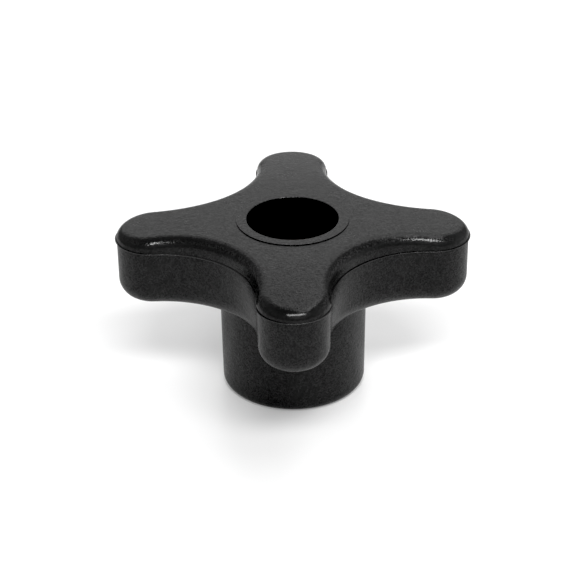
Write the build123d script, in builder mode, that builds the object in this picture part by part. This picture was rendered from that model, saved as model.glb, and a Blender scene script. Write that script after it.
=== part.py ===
from build123d import *
from math import asin, atan2, degrees, radians, sqrt, tan
import os

# A four-lobe hand knob nut with a through hole: a moulded plastic body around a threaded
# brass bush. A stud comes up through the hub's base, and its end may stand in the recess.
# The hub stands on z = 0 with the thread's axis on z. The lobes point along +X, +Y, -X and -Y.
# Sizes are in millimetres and angles in degrees.

# Lobes, seen from above: four round tips joined by four round valleys
lobe_reach = 30.0
lobe_tip_radius = 6.15
valley_radius = 16.3

# Lobes, seen from the side
underside_height = 17.2
parting_height = 27.8
crown_height = 31.0
crown_flat_radius = 9.65
crown_radius = 130.0
crown_edge_radius = 1.95
underside_edge_radius = 3.3

# Hub, and the recess above the thread with a raised ring around its mouth
hub_base_radius = 12.25
hub_edge_radius = 1.6
recess_radius = 7.8
recess_mouth_radius = 0.15
ring_radius = 9.62
ring_height = 31.17
ring_edge_radius = 0.03

# Marks of the two-part mould: draft on the walls, a slightly smaller lower cavity, and a thin
# lip of flash with a rounded rim where the halves meet
wall_draft = 1.0
lower_cavity_step = 0.08
flash_reach = 0.22
flash_thickness = 0.16
flash_rim_radius = 0.07

# Bush: M12 x 1.75 internal thread, knurled outside, with a groove that the plastic fills
bush_length = 17.0
bush_radius = 8.8
bush_collar_length = 1.5
bush_groove_radius = 7.7
bush_groove_length = 3.0
bush_edge_chamfer = 0.3
knurl_count = 48
knurl_depth = 0.45
thread_major_radius = 6.0
thread_pitch = 1.75
thread_chamfer = 1.1

# Worked out from the sizes above
lobe_tip_centre = lobe_reach - lobe_tip_radius
centre_spacing = lobe_tip_radius + valley_radius
valley_centre = (lobe_tip_centre + sqrt(2 * centre_spacing**2 - lobe_tip_centre**2)) / 2
tip_arc_angle = 90 + degrees(atan2(lobe_tip_centre - valley_centre, valley_centre))
flash_underside = parting_height - flash_thickness
thread_depth = 0.625 * thread_pitch * sqrt(3) / 2
thread_minor_radius = thread_major_radius - thread_depth
thread_mouth_radius = thread_minor_radius + thread_chamfer
overcut = 1.0

# Plan of the four lobes
with BuildSketch() as lobe_plan:
    with BuildLine():
        for turn in (0, 90, 180, 270):
            CenterArc(
                Vector(lobe_tip_centre, 0).rotate(Axis.Z, turn),
                lobe_tip_radius,
                turn - tip_arc_angle,
                2 * tip_arc_angle,
            )
            CenterArc(
                Vector(valley_centre, valley_centre).rotate(Axis.Z, turn),
                valley_radius,
                turn + 270 - tip_arc_angle,
                2 * tip_arc_angle - 90,
            )
    make_face()

# The crown is flat around the recess, then falls away gently towards the lobe tips
crown_reach = lobe_reach + overcut
crown_fall_angle = degrees(asin((crown_reach - crown_flat_radius) / crown_radius))

with BuildPart() as crown:
    with BuildSketch(Plane.XZ):
        with BuildLine():
            fall = CenterArc(
                (crown_flat_radius, crown_height - crown_radius),
                crown_radius,
                90 - crown_fall_angle,
                crown_fall_angle,
            )
            Polyline(
                fall @ 1,
                (0, crown_height),
                (0, underside_height),
                (crown_reach, underside_height),
                fall @ 0,
            )
        make_face()
    revolve(axis=Axis.Z)

# Lobes above the parting plane: straight walls up to a rounded edge. The walls start below
# that plane, because at the tips the rounded edge runs right down to it.
with BuildPart() as upper_lobes:
    with BuildSketch(Plane.XY.offset(underside_height + overcut)):
        add(lobe_plan.sketch)
    extrude(amount=crown_height - underside_height)
    add(crown.part, mode=Mode.INTERSECT)
    crown_face = upper_lobes.faces().sort_by(Axis.Z)[-2]
    fillet(crown_face.outer_wire().edges(), crown_edge_radius)
    split(bisect_by=Plane.XY.offset(parting_height), keep=Keep.TOP)

# Lobes below the parting plane: drafted walls down to a wide rounded edge
with BuildPart() as lower_lobes:
    with BuildSketch(Plane.XY.offset(flash_underside)):
        add(lobe_plan.sketch)
        offset(amount=-lower_cavity_step)
    extrude(amount=underside_height - flash_underside, taper=wall_draft)
    fillet(lower_lobes.edges().group_by(Axis.Z)[0], underside_edge_radius)

# Flash between the two halves
with BuildPart() as flash:
    with BuildSketch(Plane.XY.offset(flash_underside)):
        add(lobe_plan.sketch)
        offset(amount=flash_reach)
    extrude(amount=flash_thickness)
    fillet(flash.edges().filter_by(Axis.Z, reverse=True), flash_rim_radius)

# Raised ring around the recess's mouth
with BuildPart() as ring:
    with BuildSketch(Plane.XY.offset(parting_height)):
        Circle(ring_radius)
    extrude(amount=ring_height - parting_height)
    fillet(ring.edges().group_by(Axis.Z)[-1], ring_edge_radius)

# Hub, narrower at its base by the mould's draft
hub_top_radius = hub_base_radius + parting_height * tan(radians(wall_draft))

with BuildPart() as hub:
    with BuildSketch(Plane.XZ):
        with BuildLine():
            Polyline(
                (0, 0),
                (hub_base_radius, 0),
                (hub_top_radius, parting_height),
                (0, parting_height),
                (0, 0),
            )
        make_face()
    revolve(axis=Axis.Z)
    fillet(hub.edges().group_by(Axis.Z)[0], hub_edge_radius)

# Outside of the bush: a plain collar at the base, then a straight knurl that stops it turning
# and a groove that stops it pulling out
groove_base = (bush_length - bush_groove_length) / 2
groove_top = groove_base + bush_groove_length

with BuildPart() as bush_blank:
    with BuildSketch(Plane.XZ):
        with BuildLine():
            Polyline(
                (0, 0),
                (bush_radius, 0),
                (bush_radius, groove_base),
                (bush_groove_radius, groove_base),
                (bush_groove_radius, groove_top),
                (bush_radius, groove_top),
                (bush_radius, bush_length),
                (0, bush_length),
                (0, 0),
            )
        make_face()
    revolve(axis=Axis.Z)
    chamfer(bush_blank.edges().group_by(Axis.Z)[-1], bush_edge_chamfer)
    with BuildSketch(Plane.XY.offset(bush_collar_length)):
        with PolarLocations(bush_radius, knurl_count):
            Polygon(
                (-knurl_depth, 0),
                (knurl_depth, -2 * knurl_depth),
                (knurl_depth, 2 * knurl_depth),
                align=None,
            )
    extrude(amount=bush_length, mode=Mode.SUBTRACT)

# Thread groove of the ISO profile: 60 degrees between its flanks, an eighth of the pitch wide at
# the major radius. It starts inside the minor radius, so that the bore leaves clean crests.
groove_inner_radius = thread_minor_radius - thread_depth / 4
groove_outer_half_width = thread_pitch / 16
groove_slope = tan(radians(30))
groove_inner_half_width = (
    groove_outer_half_width + (thread_major_radius - groove_inner_radius) * groove_slope
)

with BuildPart() as thread_groove:
    with BuildLine() as thread_helix:
        Helix(
            pitch=thread_pitch,
            height=bush_length + 2 * thread_pitch,
            radius=thread_minor_radius,
            center=(0, 0, -thread_pitch),
        )
    with BuildSketch(Plane.XZ):
        with Locations((0, -thread_pitch)):
            Polygon(
                (groove_inner_radius, -groove_inner_half_width),
                (thread_major_radius, -groove_outer_half_width),
                (thread_major_radius, groove_outer_half_width),
                (groove_inner_radius, groove_inner_half_width),
                align=None,
            )
    sweep(path=thread_helix.line, is_frenet=True)

# Brass bush. Its thread is cut before its bore, which leaves the crests a true cylinder.
with BuildPart() as threaded_bush:
    add(bush_blank.part)
    add(thread_groove.part, mode=Mode.SUBTRACT)
    with BuildSketch(Plane.XZ):
        with BuildLine():
            Polyline(
                (0, 0),
                (thread_mouth_radius, 0),
                (thread_minor_radius, thread_chamfer),
                (thread_minor_radius, bush_length - thread_chamfer),
                (thread_mouth_radius, bush_length),
                (0, bush_length),
                (0, 0),
            )
        make_face()
    revolve(axis=Axis.Z, mode=Mode.SUBTRACT)

# Plastic body, moulded around the bush
with BuildPart() as knob_body:
    add(upper_lobes.part)
    add(lower_lobes.part)
    add(hub.part)
    add(flash.part)
    add(ring.part)
    with BuildSketch(Plane.XY.offset(bush_length)):
        Circle(recess_radius)
    extrude(amount=ring_height - bush_length, mode=Mode.SUBTRACT)
    mouth_circles = knob_body.edges().filter_by(GeomType.CIRCLE).group_by(Axis.Z)[-1]
    fillet(mouth_circles.sort_by(SortBy.RADIUS)[0], recess_mouth_radius)
    add(bush_blank.part, mode=Mode.SUBTRACT)

knob_body.part.label = "knob_body"
threaded_bush.part.label = "threaded_bush"

os.makedirs("parts", exist_ok=True)
export_step(knob_body.part, "parts/knob_body.step")
export_step(threaded_bush.part, "parts/threaded_bush.step")
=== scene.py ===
import bpy
from math import cos, pi, radians, sin
from mathutils import Matrix, Vector

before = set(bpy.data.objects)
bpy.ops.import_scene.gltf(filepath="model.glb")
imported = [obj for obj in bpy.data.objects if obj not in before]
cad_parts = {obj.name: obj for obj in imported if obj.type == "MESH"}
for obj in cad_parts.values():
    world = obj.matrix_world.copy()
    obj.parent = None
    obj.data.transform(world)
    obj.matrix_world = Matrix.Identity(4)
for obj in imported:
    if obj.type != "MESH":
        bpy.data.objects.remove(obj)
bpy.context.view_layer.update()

MM = 0.001
WHITE = (1, 1, 1, 1)

# Camera: a long lens at the reference picture's angle
CAMERA_AZIMUTH = -0.2
CAMERA_ELEVATION = 29.4
CAMERA_ROLL = -0.52
CAMERA_DISTANCE = 453 * MM
CAMERA_TARGET = Vector((0, 0, 15.24 * MM))
SENSOR_WIDTH = 36
LENS = 162.9
SHIFT_X = -0.0047
SHIFT_Y = 0.0162
NEAREST_SEEN = 10 * MM
FARTHEST_SEEN = 100
BLACK_LEVEL = (0.0095, 0.0095, 0.0095)

# Black plastic: its grain, and how it takes the light
PATCH_SIZE = 5 * MM
PIT_SIZE = 0.8 * MM
GRAIN_SIZE = 0.3 * MM
GRAIN_DEPTH = 0.048 * MM
PLASTIC_COLOUR = (0.007, 0.007, 0.007)
PLASTIC_ROUGHNESS = 0.21
PLASTIC_SHINE = 0.192
GRAZING_SHINE = 0.1
EDGE_PALENESS = 0.4
EDGE_POLISH = 0.07

# Where the parts of the rounded top edge start and end, by how far up the surface faces, which
# is 0 on the walls and 1 on the crown. Each pair is a ramp from none to full.
EDGE_ABOVE_WALL = (0.05, 0.35)
EDGE_BELOW_CROWN = (0.97, 0.88)
GLINT_ABOVE_WALL = (0.5, 0.66)
GLINT_BELOW_CROWN = (0.88, 0.76)
CROWN_ABOVE_EDGE = (0.9, 0.98)

# Where the lobes' tips begin, as a ramp of distances from the origin
TIP_START = 39.6 * MM
TIP_END = 40.6 * MM

# The lip of flash round the lobes: the height of its middle, and the ramp of distances from the
# origin that parts it from the recess's wall at the same height
FLASH_HEIGHT = 27.72 * MM
FLASH_FADE = 0.1 * MM
INSIDE_REACH = 29.2 * MM
OUTSIDE_REACH = 29.8 * MM

# Light painted on the flash, as a highlight along its rim and as light that lifts the shade on its
# upper face: how much paler it is than the plastic, and the one stretch where it lifts the shade most
SEAM_LIGHT_PATCH_SIZE = 9 * MM
PAINTED_LIGHT_PALENESS = 5.5
LIFTED_SHADE_CENTRE = (-14 * MM, -9 * MM, FLASH_HEIGHT)
LIFTED_SHADE_REACH = 12.5 * MM
LIFTED_SHADE_FADE = 4 * MM
LIFTED_SHADE_STRENGTH = 0.55

# Brass. Its rings are noise that is stretched across the thread's axis.
BRASS_COLOUR = (0.78, 0.58, 0.30, 1)
TARNISH_COLOUR = (0.50, 0.34, 0.16, 1)
TARNISH_SIZE = 3 * MM
BRASS_ROUGHNESS = 0.22
TARNISH_ROUGHNESS = 0.42
RING_SIZE = 0.12 * MM
RING_SQUEEZE = (0.02, 0.02, 1)
RING_DEPTH = 0.01 * MM

# The floor is a light table, so it glows a little and its shadows stay pale
FLOOR_REACH = 3.0
FLOOR_COLOUR = (0.745, 0.745, 0.745, 1)
FLOOR_ROUGHNESS = 0.35
FLOOR_SHINE = 0.3
FLOOR_GLOW = 0.18

# Lamps: name, azimuth, elevation, distance, width, height, and how bright the face looks
SOFTBOXES = (
    ("key_softbox", 9, 55, 0.8, 0.52, 0.17, 19),
    ("side_softbox", 105, 75, 0.9, 0.6, 0.33, 3.0),
    ("back_softbox", 158, 58, 0.9, 0.34, 0.4, 1.6),
)

# Soft patches of light in the studio's surroundings, with one dark patch overhead:
# azimuth, elevation, angle out to which it is full, angle at which it has faded, brightness
PATCHES = (
    (180, 26, 10, 37, 1.12),
    (180, 62, 10, 40, 0.1),
    (95, 45, 10, 50, 0.15),
    (95, 0, 10, 45, 0.4),
    (-95, -5, 5, 40, 0.05),
    (-20, 78, 10, 45, -0.27),
    (15, 42, 5, 35, 0.7),
)
AMBIENT = 0.33


def towards(azimuth, elevation):
    """The direction at these degrees. Azimuth 0 is the camera's side, and 90 the picture's right."""
    across = cos(radians(elevation))
    return Vector((
        sin(radians(azimuth)) * across,
        -cos(radians(azimuth)) * across,
        sin(radians(elevation)),
    ))


def make_material(name):
    """A new node material, its node tree and its shader node."""
    material = bpy.data.materials.new(name)
    material.use_nodes = True
    tree = material.node_tree
    return material, tree, tree.nodes["Principled BSDF"]


def add_node(tree, kind, operation=None, **values):
    """A new shader node with its inputs set, each to a number or linked from a socket.

    _0 and _1 stand for the inputs at those places, and other names for the inputs so named.
    """
    node = tree.nodes.new(kind)
    if operation:
        node.operation = operation
    for name, value in values.items():
        place = int(name[1:]) if name[0] == "_" else name.replace("_", " ")
        if isinstance(value, bpy.types.NodeSocket):
            tree.links.new(value, node.inputs[place])
        else:
            node.inputs[place].default_value = value
    return node


def calculate(tree, operation, first, second):
    """The result of a math node on two numbers or sockets."""
    return add_node(tree, "ShaderNodeMath", operation, _0=first, _1=second).outputs["Value"]


def multiply(tree, first, *others):
    """The product of numbers and sockets."""
    for other in others:
        first = calculate(tree, "MULTIPLY", first, other)
    return first


def vector_value(tree, operation, **values):
    """The number that a vector math node gives."""
    return add_node(tree, "ShaderNodeVectorMath", operation, **values).outputs["Value"]


def upward(tree, vector):
    """A vector's Z coordinate."""
    return add_node(tree, "ShaderNodeSeparateXYZ", Vector=vector).outputs["Z"]


def ramp(tree, value, start, end, low=0.0, high=1.0):
    """A smooth climb from low to high as value goes from start to end."""
    node = add_node(
        tree,
        "ShaderNodeMapRange",
        Value=value,
        From_Min=start,
        From_Max=end,
        To_Min=low,
        To_Max=high,
    )
    node.interpolation_type = "SMOOTHSTEP"
    return node.outputs["Result"]


def between(tree, value, rise, fall):
    """1 where value has passed one ramp but hasn't reached the other, and 0 beyond them."""
    return multiply(tree, ramp(tree, value, *rise), ramp(tree, value, *fall))


def noise(tree, place, size, detail=2.0, roughness=0.5):
    """Noise whose features are about this size across, in metres."""
    node = add_node(
        tree, "ShaderNodeTexNoise", Vector=place, Scale=1 / size, Detail=detail, Roughness=roughness
    )
    return node.outputs["Fac"]


def spread(tree, pattern, low, high):
    """Noise, which keeps mostly to 0.3 to 0.7, spread from low to high."""
    return ramp(tree, pattern, 0.3, 0.7, low, high)


def seam_light_mask(tree, place, from_origin, facing_up):
    """Where the flash gets painted light: a highlight on its rim, and shade lifted on its upper face.
    """
    height = upward(tree, place)
    outside = ramp(tree, from_origin, INSIDE_REACH, OUTSIDE_REACH)
    above = ramp(tree, height, FLASH_HEIGHT - FLASH_FADE, FLASH_HEIGHT)
    below_top = ramp(tree, height, FLASH_HEIGHT + FLASH_FADE, FLASH_HEIGHT)
    on_or_below_top = ramp(tree, height, FLASH_HEIGHT + 2 * FLASH_FADE, FLASH_HEIGHT + FLASH_FADE)
    light_patches = noise(tree, place, SEAM_LIGHT_PATCH_SIZE, 1)

    # Painted highlight on the rim, which doesn't face up, stronger in some places than in others
    sideways = ramp(tree, facing_up, 0.9, 0.5)
    patchy = ramp(tree, light_patches, 0.4, 0.55, 0.4, 1)
    rim_highlight = multiply(tree, multiply(tree, above, below_top, outside), sideways, patchy)

    # Painted light that lifts the shade on the lip's upper face, faintly here and there and more on
    # one stretch
    here_and_there = ramp(tree, light_patches, 0.45, 0.6, 0, 0.3)
    from_lifted_shade = vector_value(tree, "DISTANCE", _0=place, _1=LIFTED_SHADE_CENTRE)
    stretch = ramp(tree, from_lifted_shade, LIFTED_SHADE_REACH, LIFTED_SHADE_REACH - LIFTED_SHADE_FADE)
    shade_lifted = calculate(tree, "MAXIMUM", here_and_there, multiply(tree, stretch, LIFTED_SHADE_STRENGTH))
    lip = multiply(tree, above, on_or_below_top, outside)
    return calculate(tree, "MAXIMUM", rim_highlight, multiply(tree, lip, shade_lifted))


def black_plastic():
    """Moulded black nylon: the fine grain of a spark-eroded mould, worn smoother on the edges."""
    material, tree, shader = make_material("black_plastic")
    coordinates = tree.nodes.new("ShaderNodeTexCoord")
    place = coordinates.outputs["Object"]
    facing_up = upward(tree, coordinates.outputs["Normal"])
    from_origin = vector_value(tree, "LENGTH", _0=place)
    edge = between(tree, facing_up, EDGE_ABOVE_WALL, EDGE_BELOW_CROWN)

    patches = noise(tree, place, PATCH_SIZE, 3)
    pits = noise(tree, place, PIT_SIZE, 2, 0.6)
    grains = noise(tree, place, GRAIN_SIZE, 2, 0.6)

    # Colour: a faint drift in the pigment, a little paler where the edge is worn, and painted light
    # on the flash
    drift = spread(tree, patches, 0.85, 1.15)
    worn = calculate(tree, "ADD", drift, multiply(tree, edge, EDGE_PALENESS))
    seam_light_paint = multiply(tree, seam_light_mask(tree, place, from_origin, facing_up), PAINTED_LIGHT_PALENESS)
    paled = calculate(tree, "ADD", worn, seam_light_paint)
    colour = add_node(tree, "ShaderNodeVectorMath", "SCALE", _0=PLASTIC_COLOUR, Scale=paled)
    tree.links.new(colour.outputs["Vector"], shader.inputs["Base Color"])

    # Roughness: each grain has its own, and the worn edge is smoother
    base = spread(tree, patches, PLASTIC_ROUGHNESS - 0.02, PLASTIC_ROUGHNESS + 0.02)
    uneven = calculate(tree, "ADD", base, spread(tree, grains, -0.05, 0.05))
    rough = calculate(tree, "SUBTRACT", uneven, multiply(tree, edge, EDGE_POLISH))
    tree.links.new(rough, shader.inputs["Roughness"])

    # Shine: it differs from grain to grain and from pit to pit, and falls off at grazing angles,
    # where the grains hide one another's gleam
    grainy = spread(tree, grains, 0.6 * PLASTIC_SHINE, 1.4 * PLASTIC_SHINE)
    pitted = spread(tree, pits, 0.85, 1.15)
    facing_away = tree.nodes.new("ShaderNodeLayerWeight").outputs["Facing"]
    grazing = ramp(tree, facing_away, 0.3, 0.9, 1, GRAZING_SHINE)

    # Where the edge glints, some grains shine out and others hardly shine, except on the worn tips
    glint = between(tree, facing_up, GLINT_ABOVE_WALL, GLINT_BELOW_CROWN)
    contrast = ramp(tree, grains, 0.42, 0.6, -0.6, 1.1)
    unworn = ramp(tree, from_origin, TIP_START, TIP_END, 1, 0)
    glitter = calculate(tree, "ADD", multiply(tree, glint, contrast, unworn), 1)
    shine = multiply(tree, grainy, pitted, grazing, glitter)
    tree.links.new(shine, shader.inputs["Specular IOR Level"])

    # Relief: the grains over wider and shallower pits, worn down on the edge and most of all
    # on the edge of the tips
    surface = calculate(tree, "ADD", grains, multiply(tree, pits, 0.8))
    wear = multiply(tree, edge, ramp(tree, from_origin, TIP_START, TIP_END, 0.25, 0.85))
    depth = ramp(tree, facing_up, *CROWN_ABOVE_EDGE, 0.8 * GRAIN_DEPTH, 1.1 * GRAIN_DEPTH)
    relief = multiply(tree, calculate(tree, "SUBTRACT", 1, wear), depth)
    bump = add_node(tree, "ShaderNodeBump", Height=surface, Distance=relief)
    tree.links.new(bump.outputs["Normal"], shader.inputs["Normal"])
    return material


def brass():
    """Turned brass: fine rings left by the tool, with dull, darker patches where it has tarnished."""
    material, tree, shader = make_material("brass")
    place = tree.nodes.new("ShaderNodeTexCoord").outputs["Object"]
    squeezed = add_node(tree, "ShaderNodeVectorMath", "MULTIPLY", _0=place, _1=RING_SQUEEZE)
    rings = noise(tree, squeezed.outputs["Vector"], RING_SIZE, 3)
    tarnish = ramp(tree, noise(tree, place, TARNISH_SIZE, 4, 0.6), 0.35, 0.7)

    # A mix node's colours are its inputs 6 and 7 and its output 2
    blend = tree.nodes.new("ShaderNodeMix")
    blend.data_type = "RGBA"
    tree.links.new(tarnish, blend.inputs["Factor"])
    blend.inputs[6].default_value = BRASS_COLOUR
    blend.inputs[7].default_value = TARNISH_COLOUR
    tree.links.new(blend.outputs[2], shader.inputs["Base Color"])

    dull = ramp(tree, tarnish, 0, 1, BRASS_ROUGHNESS, TARNISH_ROUGHNESS)
    rough = calculate(tree, "ADD", dull, spread(tree, rings, -0.04, 0.04))
    tree.links.new(rough, shader.inputs["Roughness"])
    shader.inputs["Metallic"].default_value = 1
    bump = add_node(tree, "ShaderNodeBump", Height=rings, Distance=RING_DEPTH)
    tree.links.new(bump.outputs["Normal"], shader.inputs["Normal"])
    return material


def pale_floor():
    """A smooth white sheet with light behind it."""
    material, _, shader = make_material("pale_floor")
    shader.inputs["Base Color"].default_value = FLOOR_COLOUR
    shader.inputs["Roughness"].default_value = FLOOR_ROUGHNESS
    shader.inputs["Specular IOR Level"].default_value = FLOOR_SHINE
    shader.inputs["Emission Color"].default_value = WHITE
    shader.inputs["Emission Strength"].default_value = FLOOR_GLOW
    return material


def assign(piece, material):
    """Give a piece this material and no other."""
    piece.data.materials.clear()
    piece.data.materials.append(material)


def add_to_scene(name, data):
    """A new object that shows this data."""
    thing = bpy.data.objects.new(name, data)
    bpy.context.scene.collection.objects.link(thing)
    return thing


def make_camera():
    """The camera, which looks at the knob from its front and above."""
    camera = add_to_scene("camera", bpy.data.cameras.new("camera"))
    back = towards(CAMERA_AZIMUTH, CAMERA_ELEVATION)
    turn = back.to_track_quat("Z", "Y").to_matrix().to_4x4()
    place = Matrix.Translation(CAMERA_TARGET + back * CAMERA_DISTANCE)
    camera.matrix_world = place @ turn @ Matrix.Rotation(radians(CAMERA_ROLL), 4, "Z")
    camera.data.sensor_width = SENSOR_WIDTH
    camera.data.lens = LENS
    camera.data.shift_x = SHIFT_X
    camera.data.shift_y = SHIFT_Y
    camera.data.clip_start = NEAREST_SEEN
    camera.data.clip_end = FARTHEST_SEEN
    bpy.context.scene.camera = camera


def make_view():
    """How the light becomes a picture: plainly, but with the darkest tones pulled down to black."""
    view = bpy.context.scene.view_settings
    view.view_transform = "Standard"
    view.use_curve_mapping = True
    view.curve_mapping.black_level = BLACK_LEVEL
    view.curve_mapping.update()


def make_floor():
    """A wide flat floor at the hub's base."""
    mesh = bpy.data.meshes.new("floor")
    corners = [
        (x * FLOOR_REACH, y * FLOOR_REACH, 0) for x, y in ((-1, -1), (1, -1), (1, 1), (-1, 1))
    ]
    mesh.from_pydata(corners, [], [(0, 1, 2, 3)])
    floor = add_to_scene("floor", mesh)
    assign(floor, pale_floor())


def make_softbox(name, azimuth, elevation, distance, width, height, brightness):
    """A soft rectangular lamp that faces the object."""
    light = bpy.data.lights.new(name, "AREA")
    light.shape = "RECTANGLE"
    light.size = width
    light.size_y = height
    light.energy = brightness * width * height * pi
    lamp = add_to_scene(name, light)
    lamp.location = towards(azimuth, elevation) * distance
    lamp.rotation_mode = "QUATERNION"
    lamp.rotation_quaternion = towards(azimuth, elevation).to_track_quat("Z", "Y")


def make_world():
    """The studio's surroundings: an even light with the patches over it."""
    world = bpy.data.worlds.new("studio")
    bpy.context.scene.world = world
    world.use_nodes = True
    tree = world.node_tree
    direction = tree.nodes.new("ShaderNodeTexCoord").outputs["Generated"]
    total = AMBIENT
    for azimuth, elevation, full_angle, faded_angle, brightness in PATCHES:
        nearness = vector_value(
            tree, "DOT_PRODUCT", _0=direction, _1=towards(azimuth, elevation)
        )
        faded = cos(radians(faded_angle))
        full = cos(radians(full_angle))
        total = calculate(tree, "ADD", ramp(tree, nearness, faded, full, 0, brightness), total)
    background = tree.nodes["Background"]
    background.inputs["Color"].default_value = WHITE
    tree.links.new(total, background.inputs["Strength"])


assign(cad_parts["knob_body"], black_plastic())
assign(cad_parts["threaded_bush"], brass())
make_camera()
make_view()
make_floor()
make_world()
for softbox in SOFTBOXES:
    make_softbox(*softbox)
